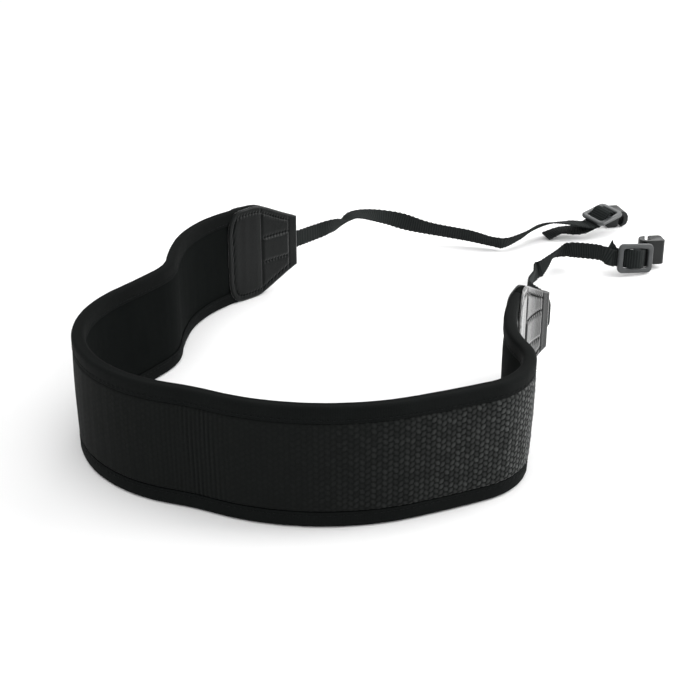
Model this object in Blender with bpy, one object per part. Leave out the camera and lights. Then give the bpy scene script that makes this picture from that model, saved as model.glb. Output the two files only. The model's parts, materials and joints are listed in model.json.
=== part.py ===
"""Camera neck strap: a padded band standing on its lower long edge, with a narrow strap at each end."""

import math

import bmesh
import bpy
from mathutils import Matrix, Vector

MM = 0.001

# Padded band
PAD_LENGTH = 661 * MM
PAD_WIDTH = 61 * MM
PAD_THICKNESS = 6.2 * MM
RIM_ROUND = 1.4 * MM
CLEARANCE = 0.3 * MM

# Edge bindings and the grip panel let into the outer face
BINDING_WIDTH = 8.0 * MM
BINDING_LEG = 1.2 * MM
BINDING_EDGE = 0.9 * MM
GRIP_THICKNESS = 1.3 * MM
GRIP_PILLOW = 0.4 * MM

# Tapered ends and the patches sewn on both of their faces
TAPER_LENGTH = 36 * MM
END_WIDTH = 33 * MM
END_THICKNESS = 1.9 * MM
PATCH_LENGTH = 58 * MM
PATCH_OVERLAP = 14 * MM
PATCH_THICKNESS = 1.0 * MM
THINNING_LENGTH = 76 * MM

# Straps
STRAP_WIDTH = 11.6 * MM
STRAP_THICKNESS = 1.3 * MM
STRAP_SEAT_DEPTH = 8 * MM
LEFT_REACH = 260 * MM
RIGHT_REACH = 180 * MM
TAIL_LENGTH = 40 * MM
SHORT_TAIL_LENGTH = 13 * MM
# Where each tail parts from its main run, as a share of the slide's length from its middle.
TAIL_PARTING = -1.0
SHORT_TAIL_PARTING = -0.40

# Three-bar slides
SLIDE_LENGTH = 27 * MM
SLIDE_THICKNESS = 2.6 * MM
SLIDE_BAR = 4.0 * MM
SLIDE_RAIL = 3.7 * MM
SLIDE_MIDDLE_BAR = 3.4 * MM
SLIDE_ROUND = 4.0 * MM
SLIDE_SIDE_PLAY = 0.5 * MM

# Open clips at the folded strap ends
CLIP_WIDTH = 17 * MM
CLIP_LENGTH = 17 * MM
CLIP_DEPTH = 12 * MM
CLIP_BLOCK = 9.6 * MM
CLIP_LIP = 3.6 * MM
CLIP_SPINE = 2.8 * MM

STATION_TURN = math.radians(7)
STATION_LENGTH = 13 * MM
FULL_TURN = math.radians(360)

# The band seen from above, from the left end to the right end.
# Each row: stretch, share of the band's length, turn in degrees.
BAND_BENDS = (
    ("left end", 0.070, 0.4),
    ("left shoulder", 0.099, 40.8),
    ("left flank", 0.047, 10.1),
    ("left waist", 0.037, -32.5),
    ("left cheek", 0.049, -2.6),
    ("left turn", 0.138, 64.6),
    ("left corner", 0.079, 39.5),
    ("front left", 0.032, -9.8),
    ("front", 0.145, 50.0),
    ("front right", 0.054, 3.3),
    ("right corner", 0.081, 80.8),
    ("right flank", 0.038, -20.7),
    ("right waist", 0.081, -16.5),
    ("right end", 0.050, -27.0),
)
BAND_START_HEADING = 221.8

# How far the upper edge leans out past the lower one.
# Each row: share of the band's length, share of the band's width.
BAND_LEAN = (
    (0.00, 0.00),
    (0.50, 0.00),
    (0.64, 0.02),
    (0.76, 0.05),
    (0.83, 0.02),
    (0.88, 0.00),
    (1.00, 0.00),
)

# Outline of an end, from its tip inwards.
# Each row: share of the taper's length, share of the width lost in the taper.
END_TAPER = ((0.0, 1.0), (0.24, 0.74), (0.49, 0.45), (0.71, 0.20), (0.87, 0.05), (1.0, 0.0))

# Rounded inner edge of a patch, back from its innermost point.
# Each row: share of the overlap, share of the half width.
PATCH_ROUND = ((0.0, 0.52), (0.05, 0.66), (0.16, 0.80), (0.36, 0.92), (0.66, 0.985), (1.0, 1.0))

# Strap routes from the band's end to the slide, seen from above.
# Each row: share of the reach to the right, share of it to the back, share of the band's width
# above the floor, and how far the strap is rolled towards the front from standing on edge, in degrees.
LEFT_ROUTE = (
    (0.051, 0.064, 0.492, 3),
    (0.092, 0.104, 0.500, 21),
    (0.116, 0.196, 0.386, 49),
    (0.153, 0.265, 0.407, 102),
    (0.238, 0.310, 0.316, 136),
    (0.350, 0.289, 0.216, 199),
    (0.463, 0.273, 0.144, 205),
    (0.527, 0.248, 0.106, 214),
    (0.561, 0.240, 0.103, 213),
    (0.613, 0.285, 0.125, 221),
    (0.653, 0.325, 0.165, 230),
    (0.700, 0.345, 0.195, 249),
    (0.745, 0.334, 0.215, 264),
)
RIGHT_ROUTE = (
    (0.017, 0.050, 0.500, 0),
    (0.017, 0.156, 0.485, 0),
    (-0.017, 0.300, 0.450, 3),
    (0.037, 0.593, 0.246, 12),
    (0.074, 0.775, 0.113, -12),
    (0.099, 0.799, 0.130, -7),
    (0.139, 0.862, 0.159, 16),
    (0.165, 0.904, 0.188, 34),
    (0.199, 0.925, 0.203, 19),
    (0.222, 0.914, 0.217, 10),
    (0.241, 0.903, 0.228, 4),
    (0.300, 0.872, 0.243, 2),
    (0.332, 0.838, 0.255, 3),
)

# Slide centres from the band's ends: shares of the reach to the right and back.
LEFT_SLIDE_PLACE = (0.847, 0.387)
RIGHT_SLIDE_PLACE = (0.454, 0.845)
# Height of the left slide's centre as a share of the clip it rests on,
# and of the right one's as a share of its own width.
LEFT_SLIDE_RISE = 1.235
RIGHT_SLIDE_RISE = 0.587
# Which way each slide lies: heading, pitch and roll in degrees.
LEFT_SLIDE_TURN = (43.5, -6, 12)
RIGHT_SLIDE_TURN = (20, 6, 81)

# Clip centres from the slide's centre: shares of the slide's length to the right and back,
# and the heading of the clip's length in degrees.
LEFT_CLIP_PLACE = (0.48, 0.83, 190)
RIGHT_CLIP_PLACE = (0.490, 0.614, 6)
RIGHT_CLIP_RISE = 3.4 * MM

# The loose tails from the slide's near end, in the slide's own directions.
# Each row: share of the tail's length along, aside and up, and twist in degrees.
LEFT_TAIL = (
    (-0.12, 0.109, -0.064, -8),
    (-0.276, 0.364, -0.150, -14),
    (-0.560, 0.464, -0.220, -6),
)
RIGHT_TAIL = (
    (-0.16, 0.05, -0.02, 0),
    (-0.33, 0.15, -0.04, 0),
    (-0.49, 0.30, -0.06, 0),
    (-0.63, 0.48, -0.08, 0),
)


def remove_everything():
    for item in list(bpy.data.objects):
        bpy.data.objects.remove(item, do_unlink=True)


def material(name, colour, roughness, metallic=0.0):
    made = bpy.data.materials.new(name)
    made.use_nodes = True
    shader = made.node_tree.nodes["Principled BSDF"]
    shader.inputs["Base Color"].default_value = (*colour, 1.0)
    shader.inputs["Roughness"].default_value = roughness
    shader.inputs["Metallic"].default_value = metallic
    return made


def add_object(name, mesh_builder, look):
    mesh = bpy.data.meshes.new(name)
    bmesh.ops.recalc_face_normals(mesh_builder, faces=mesh_builder.faces)
    mesh_builder.to_mesh(mesh)
    mesh_builder.free()
    made = bpy.data.objects.new(name, mesh)
    made.data.materials.append(look)
    bpy.context.scene.collection.objects.link(made)
    return made


def skin(rings):
    """A closed body through rings of the same number of points, capped at both ends."""
    body = bmesh.new()
    loops = [[body.verts.new(point) for point in ring] for ring in rings]
    count = len(loops[0])
    for near, far in zip(loops, loops[1:]):
        for i in range(count):
            j = (i + 1) % count
            body.faces.new((near[i], near[j], far[j], far[i]))
    body.faces.new(loops[0])
    body.faces.new(reversed(loops[-1]))
    return body


def from_table(rows, share):
    """The value of a two-column table at this share, straight between its rows."""
    for (low, first), (high, second) in zip(rows, rows[1:]):
        if share <= high:
            return first + (second - first) * (share - low) / (high - low)
    return rows[-1][1]


def smooth(share):
    share = min(max(share, 0.0), 1.0)
    return share * share * (3 - 2 * share)


def heading_vector(heading):
    return Vector((math.cos(heading), math.sin(heading), 0.0))


class Band:
    """The middle of the band's wall seen from above, followed by length from the left end."""

    def __init__(self):
        total = sum(share for _, share, _ in BAND_BENDS)
        self.fixes = []
        point = Vector((0.0, 0.0))
        heading = math.radians(BAND_START_HEADING)
        along = 0.0
        for _, share, turn in BAND_BENDS:
            length = share / total * PAD_LENGTH
            self.fixes.append((along, length, point.copy(), heading, math.radians(turn)))
            point = self.step(point, heading, math.radians(turn), length, length)
            heading += math.radians(turn)
            along += length

    @staticmethod
    def step(point, heading, turn, length, run):
        if abs(turn) < 1e-9:
            return point + run * Vector((math.cos(heading), math.sin(heading)))
        radius = length / turn
        ahead = heading + turn * run / length
        shift = Vector((math.sin(ahead) - math.sin(heading), math.cos(heading) - math.cos(ahead)))
        return point + radius * shift

    def at(self, along):
        """The point and heading at this length."""
        row = next((fix for fix in reversed(self.fixes) if along >= fix[0] - 1e-9), self.fixes[0])
        start, length, point, heading, turn = row
        run = along - start
        return self.step(point, heading, turn, length, run), heading + turn * run / length

    def place(self, along, out, height):
        """A point by length, distance outwards from the wall's middle, and height above the floor."""
        point, heading = self.at(along)
        outwards = Vector((math.sin(heading), -math.cos(heading)))
        lean = from_table(BAND_LEAN, along / PAD_LENGTH) * PAD_WIDTH
        point = point + outwards * (out + lean * (height / PAD_WIDTH - 0.5))
        return Vector((point.x, point.y, height))

    def lengths(self, low, high):
        """The lengths of the stations between two ends, closer where the band bends."""
        marks = []
        for start, length, _, _, turn in self.fixes:
            steps = max(math.ceil(abs(turn) / STATION_TURN), math.ceil(length / STATION_LENGTH))
            marks += [start + length * i / steps for i in range(steps)]
        inner = [mark for mark in marks if low + MM < mark < high - MM]
        return [low, *inner, high]


def from_end(along):
    return min(along, PAD_LENGTH - along)


def half_height(along):
    lost = from_table(END_TAPER, from_end(along) / TAPER_LENGTH)
    return (PAD_WIDTH - (PAD_WIDTH - END_WIDTH) * lost) / 2


def half_thickness(along):
    grown = smooth(from_end(along) / THINNING_LENGTH)
    return (END_THICKNESS + (PAD_THICKNESS - END_THICKNESS) * grown) / 2


COVER_START = PATCH_LENGTH - PATCH_OVERLAP


def core_section(along):
    """Outline of the core as (outwards, height), with necks where the bindings wrap it."""
    half = half_thickness(along)
    top = PAD_WIDTH / 2 + half_height(along)
    low = PAD_WIDTH / 2 - half_height(along)
    covered = from_end(along) >= COVER_START - MM * 0.01
    neck = BINDING_LEG + CLEARANCE / 2 if covered else 0.0
    inset = BINDING_EDGE + CLEARANCE if covered else 0.0
    rim = half - neck
    corner = min(RIM_ROUND, rim) / 2
    step = BINDING_WIDTH + CLEARANCE
    return (
        (rim - corner, low + inset),
        (rim, low + inset + corner),
        (rim, top - inset - corner),
        (rim - corner, top - inset),
        (corner - rim, top - inset),
        (-rim, top - inset - corner),
        (-rim, top - step),
        (-half, top - step - CLEARANCE),
        (-half, low + step + CLEARANCE),
        (-rim, low + step),
        (-rim, low + inset + corner),
        (corner - rim, low + inset),
    )


def grip_section(along):
    half = half_thickness(along)
    inner = half - BINDING_LEG + CLEARANCE / 2
    outer = inner + GRIP_THICKNESS
    top = PAD_WIDTH - BINDING_WIDTH - CLEARANCE
    low = BINDING_WIDTH + CLEARANCE
    middle = PAD_WIDTH / 2
    quarter = (top - low) / 4
    return (
        (inner, low),
        (outer - GRIP_PILLOW, low),
        (outer + GRIP_PILLOW / 2, low + quarter),
        (outer + GRIP_PILLOW, middle),
        (outer + GRIP_PILLOW / 2, top - quarter),
        (outer - GRIP_PILLOW, top),
        (inner, top),
    )


def binding_section(along, side):
    """Outline of the binding round the upper edge, or round the lower one for side -1."""
    half = half_thickness(along)
    outer = half + CLEARANCE / 2
    inner = half - BINDING_LEG + CLEARANCE / 2
    edge = half_height(along)
    crown = edge - BINDING_EDGE
    corner = min(RIM_ROUND, inner) / 2
    foot = edge - BINDING_WIDTH
    outline = (
        (outer, foot),
        (outer, edge - RIM_ROUND),
        (outer - RIM_ROUND * 0.3, edge - RIM_ROUND * 0.3),
        (outer - RIM_ROUND, edge),
        (RIM_ROUND - outer, edge),
        (RIM_ROUND * 0.3 - outer, edge - RIM_ROUND * 0.3),
        (-outer, edge - RIM_ROUND),
        (-outer, foot),
        (-inner, foot),
        (-inner, crown - corner),
        (corner - inner, crown),
        (inner - corner, crown),
        (inner, crown - corner),
        (inner, foot),
    )
    return tuple((out, PAD_WIDTH / 2 + side * height) for out, height in outline)


def upper_section(along):
    return binding_section(along, 1)


def lower_section(along):
    return binding_section(along, -1)


def sweep_band(band, section, lengths):
    rings = []
    for along in lengths:
        rings.append([band.place(along, out, height) for out, height in section(along)])
    return skin(rings)


def make_core(band, look):
    marks = band.lengths(0.0, PAD_LENGTH)
    for mark in (COVER_START, TAPER_LENGTH / 2, TAPER_LENGTH * 0.8):
        marks += [mark, PAD_LENGTH - mark]
    marks += [COVER_START - CLEARANCE, PAD_LENGTH - COVER_START + CLEARANCE]
    core = add_object("pad_core", sweep_band(band, core_section, sorted(marks)), look)
    for name, along in (("left", 0.0), ("right", PAD_LENGTH)):
        notch = box_cutter(f"{name}_seat_cutter", band, along)
        cut = core.modifiers.new(f"{name} strap seat", "BOOLEAN")
        cut.operation = "DIFFERENCE"
        cut.solver = "EXACT"
        cut.object = notch
    return core


def box_cutter(name, band, along):
    """The block cut from an end of the core, where the strap is sewn in."""
    point, heading = band.at(along)
    reach = 2 * STRAP_SEAT_DEPTH
    tall = STRAP_WIDTH + 2 * CLEARANCE
    body = bmesh.new()
    bmesh.ops.create_cube(body, size=1.0)
    bmesh.ops.scale(body, vec=(reach, PAD_THICKNESS * 2, tall), verts=body.verts)
    cutter = add_object(name, body, bpy.data.materials["patch leather"])
    cutter.location = (point.x, point.y, PAD_WIDTH / 2)
    cutter.rotation_euler = (0, 0, heading)
    cutter.hide_render = True
    cutter.display_type = "WIRE"
    return cutter


def patch_half_height(inwards):
    """Half the height of a patch this far in from the end of the band."""
    back = PATCH_LENGTH - inwards
    tall = from_table(END_TAPER, inwards / TAPER_LENGTH)
    tall = (PAD_WIDTH - (PAD_WIDTH - END_WIDTH) * tall) / 2
    return tall * from_table(PATCH_ROUND, back / PATCH_OVERLAP)


def make_patch(name, band, left, face, look):
    marks = [share * TAPER_LENGTH for share, _ in END_TAPER]
    marks += [PATCH_LENGTH - share * PATCH_OVERLAP for share, _ in PATCH_ROUND]
    near = band.lengths(0.0, PATCH_LENGTH)
    far = band.lengths(PAD_LENGTH - PATCH_LENGTH, PAD_LENGTH)
    marks += near[1:-1] if left else [PAD_LENGTH - mark for mark in far[1:-1]]
    rings = []
    for inwards in sorted(set(marks)):
        along = inwards if left else PAD_LENGTH - inwards
        under = half_thickness(along) + CLEARANCE * 2
        if face > 0 and inwards > COVER_START - 2 * CLEARANCE:
            under += GRIP_PILLOW * 0.75
        over = under + PATCH_THICKNESS
        tall = patch_half_height(inwards)
        middle = PAD_WIDTH / 2
        rings.append(
            [
                band.place(along, face * under, middle - tall),
                band.place(along, face * over, middle - tall + PATCH_THICKNESS / 2),
                band.place(along, face * over, middle),
                band.place(along, face * over, middle + tall - PATCH_THICKNESS / 2),
                band.place(along, face * under, middle + tall),
                band.place(along, face * under, middle),
            ]
        )
    return add_object(name, skin(rings), look)


def slide_frame(end, reach, place, height, turn):
    """The slide's placing: its first axis runs along the strap, its second along the bars."""
    across, back = place
    centre = Vector((end.x + reach * across, end.y + reach * back, height))
    heading, pitch, roll = (math.radians(angle) for angle in turn)
    spin = Matrix.Rotation(heading, 4, "Z") @ Matrix.Rotation(pitch, 4, "Y") @ Matrix.Rotation(roll, 4, "X")
    return Matrix.Translation(centre) @ spin


def rounded_box(length, width, round_radius, segments=4):
    """Corner points of a rounded rectangle in its own plane, counter-clockwise."""
    points = []
    for turn, (x, y) in enumerate(((1, 1), (-1, 1), (-1, -1), (1, -1))):
        centre = Vector((x * (length / 2 - round_radius), y * (width / 2 - round_radius)))
        for i in range(segments + 1):
            angle = FULL_TURN / 4 * (turn + i / segments)
            points.append(centre + round_radius * Vector((math.cos(angle), math.sin(angle))))
    return points


def prism(outline, low, high):
    rings = [[Vector((p.x, p.y, z)) for p in outline] for z in (low, high)]
    return skin(rings)


SLIDE_WIDTH = STRAP_WIDTH + 2 * SLIDE_SIDE_PLAY + 2 * SLIDE_RAIL
SLIDE_SLOT = (SLIDE_LENGTH - 2 * SLIDE_BAR - SLIDE_MIDDLE_BAR) / 2


def make_slide(name, frame, look):
    """A flat frame with a middle bar, so two slots that the strap is laced through."""
    outline = rounded_box(SLIDE_LENGTH, SLIDE_WIDTH, SLIDE_ROUND)
    slide = add_object(name, prism(outline, -SLIDE_THICKNESS / 2, SLIDE_THICKNESS / 2), look)
    slot_width = SLIDE_WIDTH - 2 * SLIDE_RAIL
    for side, word in ((-1, "near"), (1, "far")):
        middle = side * (SLIDE_MIDDLE_BAR + SLIDE_SLOT) / 2
        hole = rounded_box(SLIDE_SLOT, slot_width, SLIDE_ROUND / 4, 2)
        hole = [Vector((p.x + middle, p.y)) for p in hole]
        cutter = add_object(f"{name}_{word}_cutter", prism(hole, -SLIDE_BAR, SLIDE_BAR), look)
        cutter.parent = slide
        cutter.hide_render = True
        cutter.display_type = "WIRE"
        cut = slide.modifiers.new(f"{word} slot", "BOOLEAN")
        cut.operation = "DIFFERENCE"
        cut.solver = "EXACT"
        cut.object = cutter
    soften = slide.modifiers.new("soft edges", "BEVEL")
    soften.width = SLIDE_THICKNESS * 0.2
    soften.segments = 1
    soften.angle_limit = math.radians(40)
    slide.matrix_world = frame
    return slide


# The strap's layers about the slide's middle plane: the main run lies next to the bars,
# and the layer that comes back from the fold lies outside it below and inside it above.
LAYER_STEP = STRAP_THICKNESS + CLEARANCE * 1.5
UNDER_BAR = -(SLIDE_THICKNESS / 2 + CLEARANCE * 1.5 + STRAP_THICKNESS / 2)
OVER_BAR = LAYER_STEP - UNDER_BAR


def laced_way():
    """The main run through the slide as (along, up), from its near end to the fold past its far bar."""
    slot = (SLIDE_MIDDLE_BAR + SLIDE_SLOT) / 2
    end = SLIDE_LENGTH / 2
    half_bar = SLIDE_MIDDLE_BAR / 2
    centre = (OVER_BAR + UNDER_BAR) / 2
    half = (
        (-end - SLIDE_BAR * 0.9, UNDER_BAR),
        (-end - SLIDE_BAR * 0.1, UNDER_BAR),
        (-end + SLIDE_BAR * 0.6, UNDER_BAR),
        (-end + SLIDE_BAR * 1.08, UNDER_BAR),
        (-slot, centre),
        (-half_bar - STRAP_THICKNESS * 0.2, OVER_BAR),
    )
    return half + tuple((-along, up) for along, up in reversed(half[2:]))


def catmull(points, steps):
    """A smooth line through the points."""
    line = []
    for i in range(len(points) - 1):
        before = points[max(i - 1, 0)]
        start, end = points[i], points[i + 1]
        after = points[min(i + 2, len(points) - 1)]
        for step in range(steps):
            t = step / steps
            bend = (2 * before - 5 * start + 4 * end - after) * t * t
            twist = (3 * start - before - 3 * end + after) * t * t * t
            line.append((2 * start + (end - before) * t + bend + twist) / 2)
    line.append(points[-1].copy())
    return line


def beside(line, distance):
    """A flat line moved sideways by this distance, to the right of its way."""
    moved = []
    for i, point in enumerate(line):
        ahead = line[min(i + 1, len(line) - 1)] - line[max(i - 1, 0)]
        ahead.normalize()
        moved.append(point + distance * Vector((ahead.y, -ahead.x)))
    return moved


def laced_line(parting):
    """In, over the middle bar, round the fold and back out, as points (along, up)."""
    inward = catmull([Vector(row) for row in laced_way()], 4)
    outward = [p for p in beside(inward, LAYER_STEP) if p.x > SLIDE_LENGTH * parting]
    turn = inward[-1] + Vector((SLIDE_BAR * 0.4, 0.0))
    middle = (inward[-1] + outward[-1]) / 2
    radius = LAYER_STEP / 2
    fold = []
    steps = 6
    for i in range(steps + 1):
        angle = FULL_TURN / 4 - FULL_TURN / 2 * i / steps
        fold.append(Vector((turn.x + radius * math.cos(angle), middle.y + radius * math.sin(angle))))
    return inward + fold + list(reversed(outward))


def upright(direction):
    """The direction across a strap standing on edge that runs this way."""
    up = Vector((0, 0, 1))
    return (up - direction * up.dot(direction)).normalized()


def route_stations(start, route, reach):
    """Centres and width directions of the free run, as (centre, across)."""
    centres = [start]
    for across, back, above, _ in route:
        centres.append(Vector((start.x + reach * across, start.y + reach * back, PAD_WIDTH * above)))
    stations = []
    for i, centre in enumerate(centres):
        ahead = (centres[min(i + 1, len(centres) - 1)] - centres[max(i - 1, 0)]).normalized()
        roll = math.radians(route[i - 1][3]) if i else 0.0
        stations.append((centre, Matrix.Rotation(roll, 3, ahead) @ upright(ahead)))
    return stations


def tail_stations(frame, start, tail, length):
    """The loose tail's centres and width directions, from where it leaves the slide."""
    turn = frame.to_3x3()
    stations = []
    for along, aside, up, twist in tail:
        centre = start + turn @ (length * Vector((along, aside, up)))
        across = turn @ (Matrix.Rotation(math.radians(twist), 3, "X") @ Vector((0, 1, 0)))
        stations.append((centre, across))
    return stations


def strap_start(band, along, way):
    """Where a strap leaves the band's end, and which way it points."""
    point, heading = band.at(along)
    return Vector((point.x, point.y, PAD_WIDTH / 2)), heading_vector(heading) * way


def above_floor(centre, across):
    """The same station, raised where its lower edge would go into the floor."""
    lift = STRAP_WIDTH / 2 * abs(across.normalized().z) + STRAP_THICKNESS
    return Vector((centre.x, centre.y, max(centre.z, lift))), across


def make_strap(name, leaves, run, frame, loose_end, look):
    """A flat strap from its seat in the band's end, through the slide, round the fold and to its tail."""
    point, ahead = leaves
    route, reach = run
    tail, tail_length, parting = loose_end
    start = point - ahead * (STRAP_SEAT_DEPTH - CLEARANCE)
    free = [(start, Vector((0, 0, 1)))] + route_stations(point, route, reach)
    side = frame.to_3x3() @ Vector((0, 1, 0))
    if side.dot(free[-1][1]) < 0:
        side = -side
    line = laced_line(parting)
    entry = frame @ Vector((line[0].x, 0, line[0].y))
    leaving = frame @ Vector((line[-1].x, 0, line[-1].y))
    free.append((entry, side))
    centres = catmull([centre for centre, _ in free], 3)
    acrosses = catmull([across for _, across in free], 3)
    stations = [above_floor(*station) for station in zip(centres[:-1], acrosses[:-1])]
    stations += [(frame @ Vector((p.x, 0, p.y)), side) for p in line]
    loose = [(leaving, side)] + tail_stations(frame, leaving, tail, tail_length)
    loose = [(centre, across if across.dot(side) > 0 else -across) for centre, across in loose]
    centres = catmull([centre for centre, _ in loose], 3)[1:]
    acrosses = catmull([across for _, across in loose], 3)[1:]
    stations += [above_floor(*station) for station in zip(centres, acrosses)]
    return add_object(name, skin(strap_rings(stations)), look)


def strap_rings(stations):
    rings = []
    for i, (centre, across) in enumerate(stations):
        ahead = stations[min(i + 1, len(stations) - 1)][0] - stations[max(i - 1, 0)][0]
        ahead.normalize()
        across = (across - ahead * across.dot(ahead)).normalized() * (STRAP_WIDTH / 2)
        through = ahead.cross(across).normalized() * (STRAP_THICKNESS / 2)
        ring = [centre + across + through, centre + across - through]
        ring += [centre - across - through, centre - across + through]
        rings.append(ring)
    return rings


def clip_outline():
    """The clip's C seen from its end: a block, a thin spine and a curved lip, its mouth between them."""
    right = CLIP_LENGTH / 2
    top = CLIP_DEPTH / 2
    block_left = right - CLIP_BLOCK
    lip_out = -right
    lip_in = -right + CLIP_LIP
    soft = CLIP_LIP * 0.4
    return (
        (right - soft, top),
        (block_left, top),
        (lip_in, top),
        (lip_out + CLIP_DEPTH * 0.12, top - CLIP_DEPTH * 0.1),
        (lip_out, top - CLIP_DEPTH * 0.32),
        (lip_out, -top + CLIP_DEPTH * 0.4),
        (lip_out + CLIP_DEPTH * 0.1, -top + CLIP_DEPTH * 0.17),
        (lip_in + CLIP_DEPTH * 0.12, -top),
        (lip_in + CLIP_DEPTH * 0.2, -top + soft * 0.8),
        (lip_in + CLIP_DEPTH * 0.06, -top + CLIP_DEPTH * 0.25),
        (lip_in, -top + CLIP_DEPTH * 0.42),
        (lip_in, top - CLIP_SPINE - CLIP_DEPTH * 0.1),
        (lip_in + CLIP_DEPTH * 0.1, top - CLIP_SPINE),
        (block_left, top - CLIP_SPINE),
        (block_left, -top + soft),
        (block_left + soft, -top),
        (right - soft, -top),
        (right, -top + soft),
        (right, top - soft),
    )


def make_clip(name, frame, look):
    rings = []
    for side in (-CLIP_WIDTH / 2, CLIP_WIDTH / 2):
        rings.append([Vector((x, y, side)) for x, y in clip_outline()])
    clip = add_object(name, skin(rings), look)
    clip.matrix_world = frame
    return clip


def clip_frame(slide, place, height, spine):
    """A clip's placing beside its slide, its length turned to a heading and its spine facing one way."""
    right, back, heading = place
    centre = slide.translation + SLIDE_LENGTH * Vector((right, back, 0.0))
    centre.z = height
    length = heading_vector(math.radians(heading))
    axes = Matrix((length, spine, length.cross(spine))).transposed().to_4x4()
    return Matrix.Translation(centre) @ axes


def settle(pieces):
    """Moves everything so that the middle of its footprint is the origin and it stands on the floor."""
    bpy.context.view_layer.update()
    graph = bpy.context.evaluated_depsgraph_get()
    corners = []
    for piece in pieces:
        shape = piece.evaluated_get(graph)
        corners += [piece.matrix_world @ vertex.co for vertex in shape.data.vertices]
    low = Vector(min(corner[axis] for corner in corners) for axis in range(3))
    high = Vector(max(corner[axis] for corner in corners) for axis in range(3))
    shift = Vector((-(low.x + high.x) / 2, -(low.y + high.y) / 2, -low.z))
    for item in bpy.data.objects:
        if item.parent is None:
            item.matrix_world = Matrix.Translation(shift) @ item.matrix_world


def main():
    remove_everything()
    foam = material("padding cloth", (0.020, 0.021, 0.022), 0.90)
    grip = material("grip knit", (0.030, 0.031, 0.032), 0.62)
    tape = material("binding tape", (0.016, 0.017, 0.018), 0.85)
    leather = material("patch leather", (0.030, 0.032, 0.034), 0.42)
    webbing = material("ribbed webbing", (0.026, 0.030, 0.031), 0.80)
    plastic = material("slide plastic", (0.075, 0.078, 0.080), 0.40)
    band = Band()
    bound = band.lengths(COVER_START + CLEARANCE, PAD_LENGTH - COVER_START - CLEARANCE)
    pieces = [make_core(band, foam)]
    pieces.append(add_object("grip_panel", sweep_band(band, grip_section, bound), grip))
    pieces.append(add_object("upper_binding", sweep_band(band, upper_section, bound), tape))
    pieces.append(add_object("lower_binding", sweep_band(band, lower_section, bound), tape))
    for end, left in (("left", True), ("right", False)):
        for face, word in ((1, "outer"), (-1, "inner")):
            pieces.append(make_patch(f"{end}_{word}_patch", band, left, face, leather))
    up = Vector((0, 0, 1))
    start = strap_start(band, 0.0, -1)
    height = CLIP_DEPTH * LEFT_SLIDE_RISE
    slide = slide_frame(start[0], LEFT_REACH, LEFT_SLIDE_PLACE, height, LEFT_SLIDE_TURN)
    tail = (LEFT_TAIL, TAIL_LENGTH, TAIL_PARTING)
    pieces.append(make_strap("left_strap", start, (LEFT_ROUTE, LEFT_REACH), slide, tail, webbing))
    pieces.append(make_slide("left_slide", slide, plastic))
    low = CLIP_DEPTH / 2 + CLEARANCE
    pieces.append(make_clip("left_clip", clip_frame(slide, LEFT_CLIP_PLACE, low, up), plastic))
    start = strap_start(band, PAD_LENGTH, 1)
    height = SLIDE_WIDTH * RIGHT_SLIDE_RISE
    slide = slide_frame(start[0], RIGHT_REACH, RIGHT_SLIDE_PLACE, height, RIGHT_SLIDE_TURN)
    tail = (RIGHT_TAIL, SHORT_TAIL_LENGTH, SHORT_TAIL_PARTING)
    pieces.append(make_strap("right_strap", start, (RIGHT_ROUTE, RIGHT_REACH), slide, tail, webbing))
    pieces.append(make_slide("right_slide", slide, plastic))
    front = heading_vector(math.radians(RIGHT_CLIP_PLACE[2]) - FULL_TURN / 4)
    high = CLIP_WIDTH / 2 + RIGHT_CLIP_RISE
    pieces.append(make_clip("right_clip", clip_frame(slide, RIGHT_CLIP_PLACE, high, front), plastic))
    settle(pieces)


main()
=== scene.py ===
"""Camera neck strap: what its solids look like, in metres and in their own frame."""

import json
import math

import bmesh
import bpy
import numpy as np
from mathutils import Matrix, Vector

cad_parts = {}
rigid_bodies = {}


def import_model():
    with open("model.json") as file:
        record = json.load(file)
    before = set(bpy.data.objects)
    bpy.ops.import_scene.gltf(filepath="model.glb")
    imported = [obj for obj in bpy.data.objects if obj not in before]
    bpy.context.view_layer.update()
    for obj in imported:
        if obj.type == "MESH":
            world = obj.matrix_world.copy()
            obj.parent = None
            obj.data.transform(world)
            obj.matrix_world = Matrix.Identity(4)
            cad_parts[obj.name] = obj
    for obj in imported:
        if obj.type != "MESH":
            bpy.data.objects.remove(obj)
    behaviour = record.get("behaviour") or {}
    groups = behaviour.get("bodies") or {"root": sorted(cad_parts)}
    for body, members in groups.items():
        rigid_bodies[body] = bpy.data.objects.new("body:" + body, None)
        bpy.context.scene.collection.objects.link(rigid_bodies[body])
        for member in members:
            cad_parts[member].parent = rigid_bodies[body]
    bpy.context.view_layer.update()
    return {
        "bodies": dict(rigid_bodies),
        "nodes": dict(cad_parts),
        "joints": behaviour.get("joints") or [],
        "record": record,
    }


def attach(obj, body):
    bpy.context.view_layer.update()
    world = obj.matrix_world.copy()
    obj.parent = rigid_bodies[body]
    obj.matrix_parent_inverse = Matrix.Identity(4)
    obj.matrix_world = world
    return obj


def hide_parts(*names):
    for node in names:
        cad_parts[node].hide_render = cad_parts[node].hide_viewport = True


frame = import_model()

MM = 0.001
FULL_TURN = math.radians(360)

# Camera and floor
SENSOR_MM = 36.0
LENS_MM = 68.55
NEAREST_SEEN = 10 * MM
CAMERA_PLACE = (-0.037588, -0.741271, 0.3167)
DOWN = math.radians(23.757)
FLOOR_REACH = 4.0
FLOOR_DROP = 0.1 * MM
# The way to the weakest part of the white surround.
WEAK_WAY = (0.0, 0.9, 0.44)

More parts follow.
